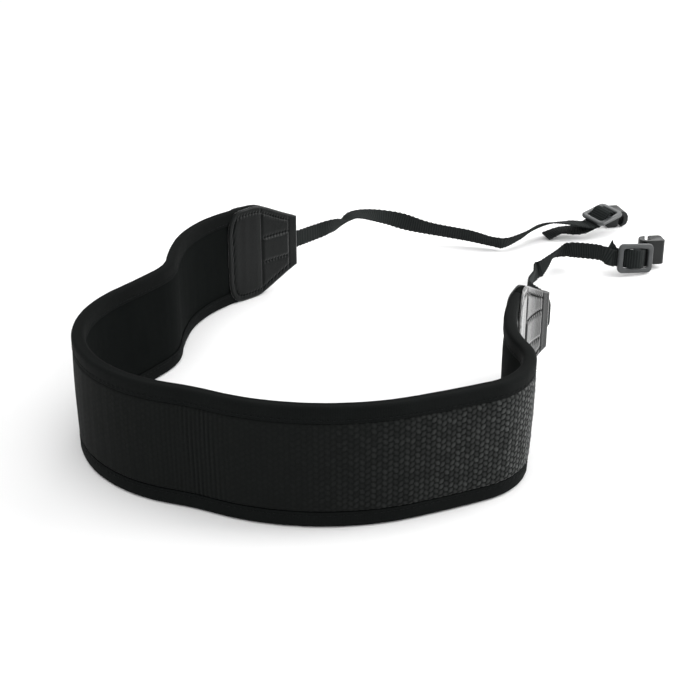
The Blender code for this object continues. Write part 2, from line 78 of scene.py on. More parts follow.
# The band
PAD_LENGTH = 661 * MM
PAD_WIDTH = 61 * MM
PAD_THICKNESS = 6.2 * MM
CLEARANCE = 0.3 * MM
BINDING_WIDTH = 8.0 * MM
BINDING_LEG = 1.2 * MM
BINDING_EDGE = 0.9 * MM
GRIP_PILLOW = 0.4 * MM
TAPER_LENGTH = 36 * MM
END_WIDTH = 33 * MM
END_THICKNESS = 1.9 * MM
PATCH_LENGTH = 58 * MM
PATCH_OVERLAP = 14 * MM
PATCH_THICKNESS = 1.0 * MM
THINNING_LENGTH = 76 * MM
COVER_START = PATCH_LENGTH - PATCH_OVERLAP
BAND_START = (-73.5884 * MM, 89.7288 * MM)
BAND_START_HEADING = 221.8

# Each row: stretch, share of the band's length, turn in degrees.
BAND_BENDS = (
    ("left end", 0.070, 0.4),
    ("left shoulder", 0.099, 40.8),
    ("left flank", 0.047, 10.1),
    ("left waist", 0.037, -32.5),
    ("left cheek", 0.049, -2.6),
    ("left turn", 0.138, 64.6),
    ("left corner", 0.079, 39.5),
    ("front left", 0.032, -9.8),
    ("front", 0.145, 50.0),
    ("front right", 0.054, 3.3),
    ("right corner", 0.081, 80.8),
    ("right flank", 0.038, -20.7),
    ("right waist", 0.081, -16.5),
    ("right end", 0.050, -27.0),
)
# Each row: share of the band's length, lean as a share of its width.
BAND_LEAN = (
    (0.00, 0.00),
    (0.50, 0.00),
    (0.64, 0.02),
    (0.76, 0.05),
    (0.83, 0.02),
    (0.88, 0.00),
    (1.00, 0.00),
)
# Each row: share of the taper's length, share of the width lost in the taper.
END_TAPER = ((0.0, 1.0), (0.24, 0.74), (0.49, 0.45), (0.71, 0.20), (0.87, 0.05), (1.0, 0.0))
# Each row: share of the overlap, share of the half width.
PATCH_ROUND = ((0.0, 0.52), (0.05, 0.66), (0.16, 0.80), (0.36, 0.92), (0.66, 0.985), (1.0, 1.0))

# Straps
STRAP_WIDTH = 11.6 * MM
STRAP_THICKNESS = 1.3 * MM
STRAP_SEAT_DEPTH = 8 * MM
LEFT_REACH = 260 * MM
RIGHT_REACH = 180 * MM
TAIL_LENGTH = 40 * MM
SHORT_TAIL_LENGTH = 13 * MM
# Where each tail parts from its main run, as a share of the slide's length from its middle.
TAIL_PARTING = -1.0
SHORT_TAIL_PARTING = -0.40
RIB = 1.7 * MM
LOOP = 2 * RIB
# Each row: shares of the reach to the right and back, height as a share of the band's width, roll.
LEFT_ROUTE = (
    (0.051, 0.064, 0.492, 3),
    (0.092, 0.104, 0.500, 21),
    (0.116, 0.196, 0.386, 49),
    (0.153, 0.265, 0.407, 102),
    (0.238, 0.310, 0.316, 136),
    (0.350, 0.289, 0.216, 199),
    (0.463, 0.273, 0.144, 205),
    (0.527, 0.248, 0.106, 214),
    (0.561, 0.240, 0.103, 213),
    (0.613, 0.285, 0.125, 221),
    (0.653, 0.325, 0.165, 230),
    (0.700, 0.345, 0.195, 249),
    (0.745, 0.334, 0.215, 264),
)
RIGHT_ROUTE = (
    (0.017, 0.050, 0.500, 0),
    (0.017, 0.156, 0.485, 0),
    (-0.017, 0.300, 0.450, 3),
    (0.037, 0.593, 0.246, 12),
    (0.074, 0.775, 0.113, -12),
    (0.099, 0.799, 0.130, -7),
    (0.139, 0.862, 0.159, 16),
    (0.165, 0.904, 0.188, 34),
    (0.199, 0.925, 0.203, 19),
    (0.222, 0.914, 0.217, 10),
    (0.241, 0.903, 0.228, 4),
    (0.300, 0.872, 0.243, 2),
    (0.332, 0.838, 0.255, 3),
)
# Each row: share of the tail's length along, aside and up, twist in degrees.
LEFT_TAIL = (
    (-0.12, 0.109, -0.064, -8),
    (-0.276, 0.364, -0.150, -14),
    (-0.560, 0.464, -0.220, -6),
)
RIGHT_TAIL = (
    (-0.16, 0.05, -0.02, 0),
    (-0.33, 0.15, -0.04, 0),
    (-0.49, 0.30, -0.06, 0),
    (-0.63, 0.48, -0.08, 0),
)

# Slides and clips
SLIDE_LENGTH = 27 * MM
SLIDE_THICKNESS = 2.6 * MM
SLIDE_BAR = 4.0 * MM
SLIDE_RAIL = 3.7 * MM
SLIDE_MIDDLE_BAR = 3.4 * MM
SLIDE_ROUND = 4.0 * MM
SLIDE_SIDE_PLAY = 0.5 * MM
SLIDE_WIDTH = STRAP_WIDTH + 2 * SLIDE_SIDE_PLAY + 2 * SLIDE_RAIL
SLIDE_SLOT = (SLIDE_LENGTH - 2 * SLIDE_BAR - SLIDE_MIDDLE_BAR) / 2
LAYER_STEP = STRAP_THICKNESS + CLEARANCE * 1.5
UNDER_BAR = -(SLIDE_THICKNESS / 2 + CLEARANCE * 1.5 + STRAP_THICKNESS / 2)
OVER_BAR = LAYER_STEP - UNDER_BAR
CLIP_WIDTH = 17 * MM
CLIP_LENGTH = 17 * MM
CLIP_DEPTH = 12 * MM
CLIP_BLOCK = 9.6 * MM
CLIP_LIP = 3.6 * MM
CLIP_SPINE = 2.8 * MM
LEFT_SLIDE_PLACE = (0.847, 0.387)
RIGHT_SLIDE_PLACE = (0.454, 0.845)
LEFT_SLIDE_RISE = 1.235
RIGHT_SLIDE_RISE = 0.587
LEFT_SLIDE_TURN = (43.5, -6, 12)
RIGHT_SLIDE_TURN = (20, 6, 81)
LEFT_CLIP_PLACE = (0.48, 0.83, 190)
RIGHT_CLIP_PLACE = (0.490, 0.614, 6)
RIGHT_CLIP_RISE = 3.4 * MM

# Surface detail
GRAIN_ALONG = 2.5 * MM
GRAIN_UP = 3.0 * MM
GRAIN_RISE = 0.42 * MM
STITCH_PITCH = 3.0 * MM
STITCH_LINE = BINDING_WIDTH - 1.7 * MM
PATCH_STITCH_PITCH = 2.5 * MM
PATCH_BORDER = 4.0 * MM
PATCH_CROSS_LINE = 7.0 * MM
PATCH_FOLD_LINE = 30.0 * MM
PATCH_ROW_UP = 8.2 * MM
PATCH_FINE_ZONE = 3.0 * MM
PATCH_COLUMNS = 105
# How far a patch's columns crowd towards its edges, as a share of a quarter turn.
PATCH_CROWDING = 0.93
# Each row: wavelength in millimetres, shift, weight.
RIPPLES = ((31.0, 1.3, 0.45), (13.0, 4.1, 0.3), (6.1, 0.7, 0.25))
# Numbers that scatter the grains' heights.
SCATTER_ALONG, SCATTER_UP, SCATTER = 12.99, 78.23, 43758.5
# How far apart a wave texture's bands lie at scale 1, in its own units.
WAVE_AT_SCALE_ONE = 0.314
# Each row: a ring of a stitch by place along it, thickness and rise.
STITCH_RINGS = (
    (-1.0, 0.35, -0.8),
    (-0.8, 0.85, -0.25),
    (-0.35, 1.0, 0.25),
    (0.35, 1.0, 0.25),
    (0.8, 0.85, -0.25),
    (1.0, 0.35, -0.8),
)
STITCH_SPOKES = 6


# Camera, light and floor

def make_camera():
    lens = bpy.data.cameras.new("camera")
    lens.sensor_width = SENSOR_MM
    lens.lens = LENS_MM
    lens.clip_start = NEAREST_SEEN
    camera = bpy.data.objects.new("camera", lens)
    camera.location = CAMERA_PLACE
    camera.rotation_euler = (FULL_TURN / 4 - DOWN, 0.0, 0.0)
    bpy.context.scene.collection.objects.link(camera)
    bpy.context.scene.camera = camera


def area_light(name, place, target, size, watts):
    data = bpy.data.lights.new(name, "AREA")
    data.shape = "RECTANGLE"
    data.size, data.size_y = size
    data.energy = watts
    lamp = bpy.data.objects.new(name, data)
    lamp.location = place
    aim = Vector(target) - Vector(place)
    lamp.rotation_euler = aim.to_track_quat("-Z", "Y").to_euler()
    bpy.context.scene.collection.objects.link(lamp)


def make_world():
    """White light from all round, weaker high up at the back."""
    world = bpy.data.worlds.new("studio")
    world.use_nodes = True
    tree = world.node_tree
    background = tree.nodes["Background"]
    background.inputs["Color"].default_value = (1.0, 1.0, 1.0, 1.0)
    way = put(tree, "ShaderNodeTexCoord").outputs["Generated"]
    toward = put(tree, "ShaderNodeVectorMath", {0: way, 1: WEAK_WAY}, operation="DOT_PRODUCT")
    strength = span(tree, toward.outputs["Value"], 0.95, 0.25, 0.55, 0.90)
    tree.links.new(strength, background.inputs["Strength"])
    bpy.context.scene.world = world


def make_floor():
    mesh = bpy.data.meshes.new("floor")
    corners = [(-1, -1), (1, -1), (1, 1), (-1, 1)]
    points = [(x * FLOOR_REACH, y * FLOOR_REACH, -FLOOR_DROP) for x, y in corners]
    mesh.from_pydata(points, [], [(0, 1, 2, 3)])
    floor = bpy.data.objects.new("floor", mesh)
    paint, _, _ = new_look("floor paint", (0.93, 0.93, 0.93), 0.9)
    mesh.materials.append(paint)
    bpy.context.scene.collection.objects.link(floor)


def make_studio():
    make_world()
    area_light("right softbox", (1.0, 0.15, 0.55), (0.08, -0.05, 0.03), (0.9, 0.9), 12.0)
    area_light("back softbox", (0.35, 1.3, 0.75), (0.03, 0.05, 0.0), (1.0, 0.6), 6.0)
    area_light("top softbox", (-0.1, -0.1, 1.3), (0.0, 0.0, 0.0), (1.2, 1.2), 7.0)
    bpy.context.scene.view_settings.view_transform = "Standard"
    make_floor()


# Materials: UV maps are in millimetres, along the piece and across it, but not those of the stitches

def new_look(name, colour, roughness, specular=0.5, sheen=0.0, sheen_roughness=0.5):
    made = bpy.data.materials.new(name)
    made.use_nodes = True
    shader = made.node_tree.nodes["Principled BSDF"]
    shader.inputs["Base Color"].default_value = (*colour, 1.0)
    shader.inputs["Roughness"].default_value = roughness
    shader.inputs["Specular IOR Level"].default_value = specular
    shader.inputs["Sheen Weight"].default_value = sheen
    shader.inputs["Sheen Roughness"].default_value = sheen_roughness
    return made, made.node_tree, shader


def put(tree, kind, inputs=None, **settings):
    """A new node with these settings. An input takes a value, or the output that feeds it."""
    made = tree.nodes.new(kind)
    for name, value in settings.items():
        setattr(made, name, value)
    for name, value in (inputs or {}).items():
        socket = made.inputs[name]
        if isinstance(value, bpy.types.NodeSocket):
            tree.links.new(value, socket)
        else:
            socket.default_value = value
    return made


def uv_millimetres(tree):
    return put(tree, "ShaderNodeTexCoord").outputs["UV"]


def places(tree):
    return put(tree, "ShaderNodeTexCoord").outputs["Object"]


def relief_and_shade_value(tree):
    """The value that a mesh holds for its raised grains or ribs, or for how far out a tape face lies; the
    looks paint highlight and shade into the base colour from it.
    """
    return put(tree, "ShaderNodeAttribute", attribute_name="grain").outputs["Fac"]


def sums(tree, operation, first, second):
    return put(tree, "ShaderNodeMath", {0: first, 1: second}, operation=operation).outputs[0]


def blend(tree, first, second, share):
    """A mean of two values, of which the first has this share."""
    return sums(tree, "ADD", sums(tree, "MULTIPLY", first, share), sums(tree, "MULTIPLY", second, 1 - share))


def tint(tree, shader, factor, low, high, start=0.0):
    """The base colour, which goes from low at the start to high at 1."""
    ramp = put(tree, "ShaderNodeValToRGB", {"Fac": factor})
    ramp.color_ramp.elements[0].color = (*low, 1.0)
    ramp.color_ramp.elements[0].position = start
    ramp.color_ramp.elements[1].color = (*high, 1.0)
    tree.links.new(ramp.outputs["Color"], shader.inputs["Base Color"])


def span(tree, factor, low, high, first=0.0, last=1.0):
    inputs = {"Value": factor, "From Min": first, "From Max": last, "To Min": low, "To Max": high}
    return put(tree, "ShaderNodeMapRange", inputs).outputs["Result"]


def waves(tree, vector, wavelength, direction, distortion=0.0):
    scale = WAVE_AT_SCALE_ONE / wavelength
    inputs = {"Vector": vector, "Scale": scale, "Distortion": distortion, "Detail": 1.0}
    return put(tree, "ShaderNodeTexWave", inputs, bands_direction=direction).outputs["Fac"]


def specks(tree, vector, scale, detail=3.0, roughness=0.6):
    inputs = {"Vector": vector, "Scale": scale, "Detail": detail, "Roughness": roughness}
    return put(tree, "ShaderNodeTexNoise", inputs).outputs["Fac"]


def bump(tree, shader, height, strength, distance, below=None):
    inputs = {"Height": height, "Strength": strength, "Distance": distance}
    if below is not None:
        inputs["Normal"] = below
    made = put(tree, "ShaderNodeBump", inputs)
    tree.links.new(made.outputs["Normal"], shader.inputs["Normal"])
    return made.outputs["Normal"]


def padding_look():
    made, tree, shader = new_look("padding cloth", (0.005, 0.0055, 0.0058), 0.85, 0.02)
    uv = uv_millimetres(tree)
    knit = sums(tree, "MULTIPLY", waves(tree, uv, 0.55, "X"), waves(tree, uv, 0.42, "Y"))
    patchy = specks(tree, places(tree), 38.0)
    tone = blend(tree, knit, patchy, 0.35)
    tint(tree, shader, tone, (0.0022, 0.0028, 0.0027), (0.0062, 0.0072, 0.0069))
    tree.links.new(span(tree, patchy, 0.78, 0.92), shader.inputs["Roughness"])
    soft = bump(tree, shader, patchy, 0.25, 1.2 * MM)
    bump(tree, shader, knit, 0.35, 0.12 * MM, soft)
    return made


def grip_look():
    made, tree, shader = new_look("grip knit", (0.005, 0.006, 0.006), 0.45, 0.10, 0.12, 0.3)
    uv = uv_millimetres(tree)
    grain = relief_and_shade_value(tree)
    fine = specks(tree, uv, 3.2, 4.0, 0.7)
    # Painted highlight and shade: the base colour is lighter on the grain tops and darker in the gaps, and it
    # is an even dark towards the left end, where the grain value fades.
    tone = blend(tree, grain, fine, 0.75)
    tint(tree, shader, tone, (0.0024, 0.0029, 0.0028), (0.0520, 0.0560, 0.0535), 0.12)
    tree.links.new(span(tree, grain, 0.75, 0.36), shader.inputs["Roughness"])
    tree.links.new(span(tree, grain, 0.02, 0.30), shader.inputs["Specular IOR Level"])
    tree.links.new(span(tree, grain, 0.0, 0.16, 0.10, 0.60), shader.inputs["Sheen Weight"])
    bump(tree, shader, fine, 0.5, 0.16 * MM)
    return made


def tape_look():
    """The tape's grain value says how far outwards a place lies, and its inner side is painted darker as
    shade.
    """
    made, tree, shader = new_look("binding tape", (0.005, 0.0055, 0.0058), 0.80, 0.05)
    uv = uv_millimetres(tree)
    weave = sums(tree, "MULTIPLY", waves(tree, uv, 0.7, "X", 0.6), waves(tree, uv, 0.5, "Y", 0.4))
    patchy = specks(tree, places(tree), 55.0)
    # Painted shade: the colour darkens towards the tape's inner side.
    shade = span(tree, relief_and_shade_value(tree), 0.3, 1.0)
    tone = sums(tree, "MULTIPLY", blend(tree, weave, patchy, 0.5), shade)
    tint(tree, shader, tone, (0.0020, 0.0025, 0.0024), (0.0104, 0.0118, 0.0115))
    tree.links.new(span(tree, patchy, 0.72, 0.88), shader.inputs["Roughness"])
    bump(tree, shader, weave, 0.4, 0.14 * MM)
    return made


def leather_look(name, specular, sheen, sheen_roughness, low, high):
    made, tree, shader = new_look(name, high, 0.20, specular, sheen, sheen_roughness)
    uv = uv_millimetres(tree)
    cells = put(tree, "ShaderNodeTexVoronoi", {"Vector": uv, "Scale": 1.5, "Randomness": 1.0})
    grain = span(tree, cells.outputs["Distance"], 1.0, 0.0, 0.0, 0.75)
    pores = specks(tree, uv, 4.5, 3.0, 0.65)
    patchy = specks(tree, places(tree), 60.0)
    tint(tree, shader, blend(tree, patchy, grain, 0.7), low, high)
    tree.links.new(span(tree, pores, 0.12, 0.28), shader.inputs["Roughness"])
    coarse = bump(tree, shader, grain, 0.35, 0.16 * MM)
    bump(tree, shader, pores, 0.3, 0.08 * MM, coarse)
    return made


def webbing_look():
    made, tree, shader = new_look("ribbed webbing", (0.013, 0.015, 0.015), 0.78, 0.08)
    uv = uv_millimetres(tree)
    threads = waves(tree, uv, 0.45, "Y", 0.8)
    fuzz = specks(tree, uv, 2.4, 4.0, 0.7)
    # Painted shade and highlight: the colour is darker in the grooves between the ribs and lighter on their
    # crests.
    tone = blend(tree, relief_and_shade_value(tree), fuzz, 0.55)
    tint(tree, shader, tone, (0.0050, 0.0062, 0.0062), (0.0215, 0.0248, 0.0242), 0.15)
    tree.links.new(span(tree, fuzz, 0.62, 0.84), shader.inputs["Roughness"])
    fine = bump(tree, shader, threads, 0.45, 0.12 * MM)
    bump(tree, shader, fuzz, 0.3, 0.10 * MM, fine)
    return made


def plastic_look(name, colour, roughness, specular, mottling, low, high):
    made, tree, shader = new_look(name, colour, roughness, specular)
    spot = places(tree)
    mottle = specks(tree, spot, mottling)
    tint(tree, shader, mottle, low, high)
    tree.links.new(span(tree, mottle, 0.26, 0.40), shader.inputs["Roughness"])
    bump(tree, shader, specks(tree, spot, 2600.0, 2.0), 0.25, 0.06 * MM)
    return made


def thread_look():
    made, tree, shader = new_look("sewing thread", (0.007, 0.008, 0.008), 0.75, 0.05)
    twist = waves(tree, uv_millimetres(tree), 0.5, "DIAGONAL")
    tint(tree, shader, twist, (0.004, 0.005, 0.005), (0.011, 0.012, 0.012))
    bump(tree, shader, twist, 0.4, 0.08 * MM)
    return made


# Shapes

def smooth(share):
    share = np.clip(share, 0.0, 1.0)
    return share * share * (3 - 2 * share)


def bell(distance, width):
    return np.exp(-((distance / width) ** 2))


def running(steps):
    """The sum of the steps so far, from zero."""
    return np.concatenate([[0.0], np.cumsum(steps)])


def through(rows, shares):
    """A smooth curve through a two-column table."""
    xs = np.array([row[0] for row in rows])
    ys = np.array([row[1] for row in rows])
    slopes = np.diff(ys) / np.diff(xs)
    bends = np.concatenate([[slopes[0]], (slopes[:-1] + slopes[1:]) / 2, [slopes[-1]]])
    flat = np.concatenate([[False], slopes[:-1] * slopes[1:] <= 0, [False]])
    bends[flat] = 0.0
    shares = np.clip(shares, xs[0], xs[-1])
    k = np.clip(np.searchsorted(xs, shares, side="right") - 1, 0, len(xs) - 2)
    step = xs[k + 1] - xs[k]
    t = (shares - xs[k]) / step
    first = (1 + 2 * t) * (1 - t) ** 2 * ys[k] + t * (1 - t) ** 2 * step * bends[k]
    return first + t * t * (3 - 2 * t) * ys[k + 1] + t * t * (t - 1) * step * bends[k + 1]


class Band:
    """The middle of the band's wall seen from above, by length from the left end."""

    def __init__(self):
        shares = np.array([row[1] for row in BAND_BENDS])
        self.lengths = shares / shares.sum() * PAD_LENGTH
        self.turns = np.radians([row[2] for row in BAND_BENDS])
        self.starts = running(self.lengths)[:-1]
        self.headings = math.radians(BAND_START_HEADING) + running(self.turns)[:-1]
        reach, way = self.chord(self.lengths, self.turns, self.headings)
        self.x = BAND_START[0] + running(reach * np.cos(way))[:-1]
        self.y = BAND_START[1] + running(reach * np.sin(way))[:-1]

    @staticmethod
    def chord(run, turned, heading):
        return run * np.sinc(turned / 2 / math.pi), heading + turned / 2

    def at(self, along):
        k = np.clip(np.searchsorted(self.starts, along, side="right") - 1, 0, len(self.starts) - 1)
        run = along - self.starts[k]
        turned = self.turns[k] * run / self.lengths[k]
        reach, way = self.chord(run, turned, self.headings[k])
        x = self.x[k] + reach * np.cos(way)
        y = self.y[k] + reach * np.sin(way)
        return x, y, self.headings[k] + turned

    def place(self, along, out, height):
        """Points by length, distance outwards from the wall's middle, and height above the floor."""
        along, out, height = np.broadcast_arrays(along, out, height)
        x, y, heading = self.at(along)
        lean = np.interp(along / PAD_LENGTH, *zip(*BAND_LEAN)) * PAD_WIDTH
        out = out + lean * (height / PAD_WIDTH - 0.5)
        return np.stack([x + np.sin(heading) * out, y - np.cos(heading) * out, height], axis=-1)


def from_end(along):
    return np.minimum(along, PAD_LENGTH - along)


def half_height(along):
    lost = through(END_TAPER, from_end(along) / TAPER_LENGTH)
    return (PAD_WIDTH - (PAD_WIDTH - END_WIDTH) * lost) / 2


def half_thickness(along):
    grown = smooth(from_end(along) / THINNING_LENGTH)
    return (END_THICKNESS + (PAD_THICKNESS - END_THICKNESS) * grown) / 2


def finish_mesh(name, mesh, look, nodes=()):
    """A shaded object that rides with the part and stands for these nodes."""
    body = bmesh.new()
    body.from_mesh(mesh)
    bmesh.ops.recalc_face_normals(body, faces=body.faces)
    body.to_mesh(mesh)
    body.free()
    mesh.polygons.foreach_set("use_smooth", np.ones(len(mesh.polygons), bool))
    mesh.materials.append(look)
    made = bpy.data.objects.new(name, mesh)
    bpy.context.scene.collection.objects.link(made)
    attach(made, "root")
    if nodes:
        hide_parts(*nodes)
    return made


def sweep(name, points, uv, values=None):
    """A closed body through rings of points, capped at both ends. UVs have one more column than the rings."""
    rows, cols = points.shape[:2]
    i = np.arange(rows - 1)[:, None] + np.zeros((1, cols), int)
    j = np.arange(cols)[None, :] + np.zeros((rows - 1, 1), int)
    k = (j + 1) % cols
    here, after = i * cols, (i + 1) * cols
    faces = np.stack([here + j, here + k, after + k, after + j], axis=-1).reshape(-1, 4)
    corners = np.stack([uv[i, j], uv[i, j + 1], uv[i + 1, j + 1], uv[i + 1, j]], axis=-2)
    corners = corners.reshape(-1, 2)
    ends = [list(range(cols))[::-1], list(range((rows - 1) * cols, rows * cols))]
    mesh = bpy.data.meshes.new(name)
    mesh.from_pydata(points.reshape(-1, 3).tolist(), [], faces.tolist() + ends)
    layer = mesh.uv_layers.new(name="UVMap")
    flat = np.zeros((len(mesh.loops), 2))
    flat[: len(corners)] = corners
    flat[len(corners) :] = np.tile(uv[0, 0], (len(mesh.loops) - len(corners), 1))
    layer.data.foreach_set("uv", flat.astype(np.float32).reshape(-1))
    if values is not None:
        # Grain or rib heights, or how far out a tape face lies; the looks paint highlight and shade from
        # these values.
        grain = mesh.attributes.new("grain", "FLOAT", "POINT")
        grain.data.foreach_set("value", values.astype(np.float32).reshape(-1))
    return mesh


def round_uv(along, points):
    """Millimetres along the piece and round its rings."""
    closed = np.concatenate([points, points[:, :1]], axis=1)
    steps = np.linalg.norm(np.diff(closed, axis=1), axis=-1)
    middle = len(points) // 2
    across = running(steps[middle])
    uv = np.zeros((len(points), points.shape[1] + 1, 2))
    uv[:, :, 0] = along[:, None] / MM
    uv[:, :, 1] = across[None, :] / MM
    return uv


def section_points(band, along, section):
    """Rings of a section, each row of which is a pair of arrays (outwards, height from the middle)."""
    out = np.stack([row[0] for row in section], axis=1)
    height = np.stack([row[1] for row in section], axis=1)
    return band.place(along[:, None], out, PAD_WIDTH / 2 + height)


def ripple(along, height, seed):
    """Soft folds that run up and down the band, between -1 and 1."""
    total = 0.0
    for size, shift, weight in RIPPLES:
        tilt = 0.12 * np.sin(along / MM / 23.0 + seed + shift)
        run = (along / MM + height / MM * tilt) / size
        total = total + weight * np.sin(FULL_TURN * run + seed * shift)
    return total


def make_padding(band, look):
    along = np.linspace(0.0, PAD_LENGTH, 420)
    half = half_thickness(along)
    tall = half_height(along)
    cover = smooth((from_end(along) - COVER_START + 1 * MM) / (2 * MM))
    rim = half - cover * BINDING_LEG * 0.75
    edge = tall - cover * BINDING_EDGE * 0.9
    soft = np.minimum(rim, 1.8 * MM)
    section = []
    for angle in np.linspace(0.0, math.pi, 11):
        section.append((rim * math.cos(angle), edge - soft * (1 - math.sin(angle))))
    open_part = tall - BINDING_WIDTH
    for share in np.linspace(1.0, -1.0, 39):
        height = share * (edge - soft)
        q = np.clip(np.abs(height) / open_part, 0.0, 1.0)
        crown = (1 - q**6) * cover
        folds = ripple(along, height, 2.0) * 0.16 * MM
        section.append((-(rim + crown * (half - rim + GRIP_PILLOW * 0.6 - 0.2 * MM + folds)), height))
    for angle in np.linspace(math.pi, 0.0, 11):
        section.append((rim * math.cos(angle), -edge + soft * (1 - math.sin(angle))))
    points = section_points(band, along, section)
    mesh = sweep("padded_band", points, round_uv(along, points))
    made = finish_mesh("padded_band", mesh, look, ["pad_core"])


def grains(along, height):
    """Height of the grip's staggered grains, 0 to 1."""
    column = np.floor(along / GRAIN_ALONG)
    aside = (along / GRAIN_ALONG - column - 0.5) * 2
    lifted = height / GRAIN_UP + 0.5 * np.mod(column, 2) + 0.06 * np.sin(column * 2.3)
    upward = (lifted - np.floor(lifted) - 0.5) * 2
    slant = aside + 0.38 * upward * np.where(np.mod(column, 2) > 0.5, 1.0, -1.0)
    inside = 1 - np.abs(slant / 0.96) ** 2.2 - np.abs(upward / 0.97) ** 2.6
    uneven = np.sin(SCATTER_ALONG * column + SCATTER_UP * np.floor(lifted)) * SCATTER
    return np.clip(inside, 0.0, 1.0) ** 0.6 * (0.45 + 0.55 * (uneven - np.floor(uneven)))


def make_grip(band, look):
    start = COVER_START - CLEARANCE
    steps = round((PAD_LENGTH - 2 * start) / (GRAIN_ALONG / 5))
    along = np.linspace(start, PAD_LENGTH - start, steps)
    half = half_thickness(along)
    low = PAD_WIDTH / 2 - BINDING_WIDTH + 0.2 * MM
    rows = round(2 * low / (GRAIN_UP / 5))
    heights = np.linspace(-low, low, rows)
    q = heights / low
    grid_along, grid_up = np.meshgrid(along, heights, indexing="ij")
    share = grid_along / PAD_LENGTH
    strength = 0.03 + 0.97 * smooth((share - 0.59) / 0.25) ** 1.2
    relief = grains(grid_along, grid_up)
    uneven = 0.7 + 0.3 * np.sin(grid_along / (1.7 * MM) + grid_up / (9 * MM))
    pleat_turn = FULL_TURN * grid_along / (2.3 * MM) + 0.2 * np.sin(grid_up / (5 * MM))
    pleats = uneven * bell(share - 0.541, 0.019) * np.sin(pleat_turn)
    drop = 1.1 * MM * smooth((np.abs(q) - 0.955) / 0.045)[None, :]
    out = half[:, None] + 0.15 * MM + GRIP_PILLOW * (1 - q[None, :] ** 2) - drop
    out = out + relief * GRAIN_RISE * strength + 0.17 * MM * pleats
    out = out + 0.12 * MM * ripple(grid_along, grid_up, 5.0)
    front = band.place(grid_along, out, PAD_WIDTH / 2 + grid_up)
    back_up = np.array([low, low / 2, 0.0, -low / 2, -low])
    back = band.place(along[:, None], half[:, None] - 0.9 * MM, PAD_WIDTH / 2 + back_up[None, :])
    points = np.concatenate([front, back], axis=1)
    # Values for the painted light: highlight on the grain tops and shade between them, fading to an even dark
    # towards the left end, with faint lighter streaks along the pleats.
    shown = relief * strength + (0.08 + 0.05 * pleats) * (1 - strength)
    values = np.concatenate([shown, np.zeros((len(along), len(back_up)))], axis=1)
    mesh = sweep("grip_face", points, round_uv(along, points), values)
    return finish_mesh("grip_face", mesh, look, ["grip_panel"])


def tape_out(along, depth, face):
    """How far out a binding's face lies at this depth below the rim."""
    dent = 0.16 * MM * bell(depth - STITCH_LINE, 0.8 * MM)
    gather = 0.6 + 0.4 * np.cos(FULL_TURN * along / STITCH_PITCH)
    swell = 0.14 * MM * np.sin(math.pi * np.clip(depth / STITCH_LINE, 0.0, 1.0))
    slack = 0.07 * MM * ripple(along, depth * face, 3.0 + face)
    return half_thickness(along) + CLEARANCE / 2 - dent * gather + swell + slack


def make_tape(band, side, name, node, look):
    start = COVER_START + CLEARANCE
    along = np.linspace(start, PAD_LENGTH - start, 620)
    half = half_thickness(along)
    tall = half_height(along)
    wall = 0.8 * MM
    section = []
    soft = np.minimum(half * 0.9, 2.0 * MM)
    for face in (1, -1):
        depths = np.concatenate([np.linspace(BINDING_WIDTH, 2.2 * MM, 13), [1.6 * MM]])
        rows = [(face * tape_out(along, depth, face), tall - depth) for depth in depths]
        rows[0] = (rows[0][0] - face * 0.35 * MM, rows[0][1])
        for angle in np.linspace(0.25, 1.0, 5) * FULL_TURN / 4:
            top = tape_out(along, 0.0, face) - soft * (1 - math.cos(angle))
            rows.append((face * top, tall - 1.4 * MM * (1 - math.sin(angle))))
        section += rows if face > 0 else rows[::-1]
    inside = half + CLEARANCE / 2 - wall
    for face in (-1, 1):
        rows = [
            (face * inside, tall - BINDING_WIDTH),
            (face * inside, tall - 2.4 * MM),
            (face * (half * 0.5), tall - 1.1 * MM),
        ]
        section += rows if face < 0 else rows[::-1]
    section = [(out, side * height) for out, height in section]
    points = section_points(band, along, section)
    # How far out each point lies; the tape look paints shade on the inner side from it.
    outward = np.stack([np.clip(0.5 + out / half, 0.0, 1.0) for out, _ in section], axis=1)
    mesh = sweep(name, points, round_uv(along, points), outward)
    return finish_mesh(name, mesh, look, [node])


def stitches(name, spots, look, length, radius):
    """One capsule of thread for each spot: (point, way along the seam, way out of the surface)."""
    points, ways, outs = (np.array([spot[part] for spot in spots]) for part in range(3))
    ways /= np.linalg.norm(ways, axis=1)[:, None]
    outs -= ways * np.sum(ways * outs, axis=1)[:, None]
    outs /= np.linalg.norm(outs, axis=1)[:, None]
    sides = np.cross(ways, outs)
    spokes = STITCH_SPOKES
    angles = FULL_TURN * np.arange(spokes) / spokes
    verts = []
    for run, thick, rise in STITCH_RINGS:
        for angle in angles:
            outward = outs * (radius * (thick * math.sin(angle) + rise))
            aside = sides * (radius * thick * math.cos(angle))
            verts.append(points + ways * (run * length / 2) + aside + outward)
    verts = np.stack(verts, axis=1)
    each = verts.shape[1]
    pattern = []
    for ring in range(len(STITCH_RINGS) - 1):
        for spoke in range(spokes):
            after = (spoke + 1) % spokes
            low = ring * spokes
            pattern.append((low + spoke, low + after, low + spokes + after, low + spokes + spoke))
    caps = [tuple(range(spokes))[::-1], tuple(range(each - spokes, each))]
    faces = []
    for i in range(len(spots)):
        faces += [tuple(v + i * each for v in face) for face in pattern + caps]
    mesh = bpy.data.meshes.new(name)
    mesh.from_pydata(verts.reshape(-1, 3).tolist(), [], faces)
    layer = mesh.uv_layers.new(name="UVMap")
    index = np.zeros(len(mesh.loops), np.int32)
    mesh.loops.foreach_get("vertex_index", index)
    local = index % each
    uv = np.stack([local // spokes * 0.5, local % spokes * 0.3], axis=1)
    layer.data.foreach_set("uv", uv.astype(np.float32).reshape(-1))
    return finish_mesh(name, mesh, look)


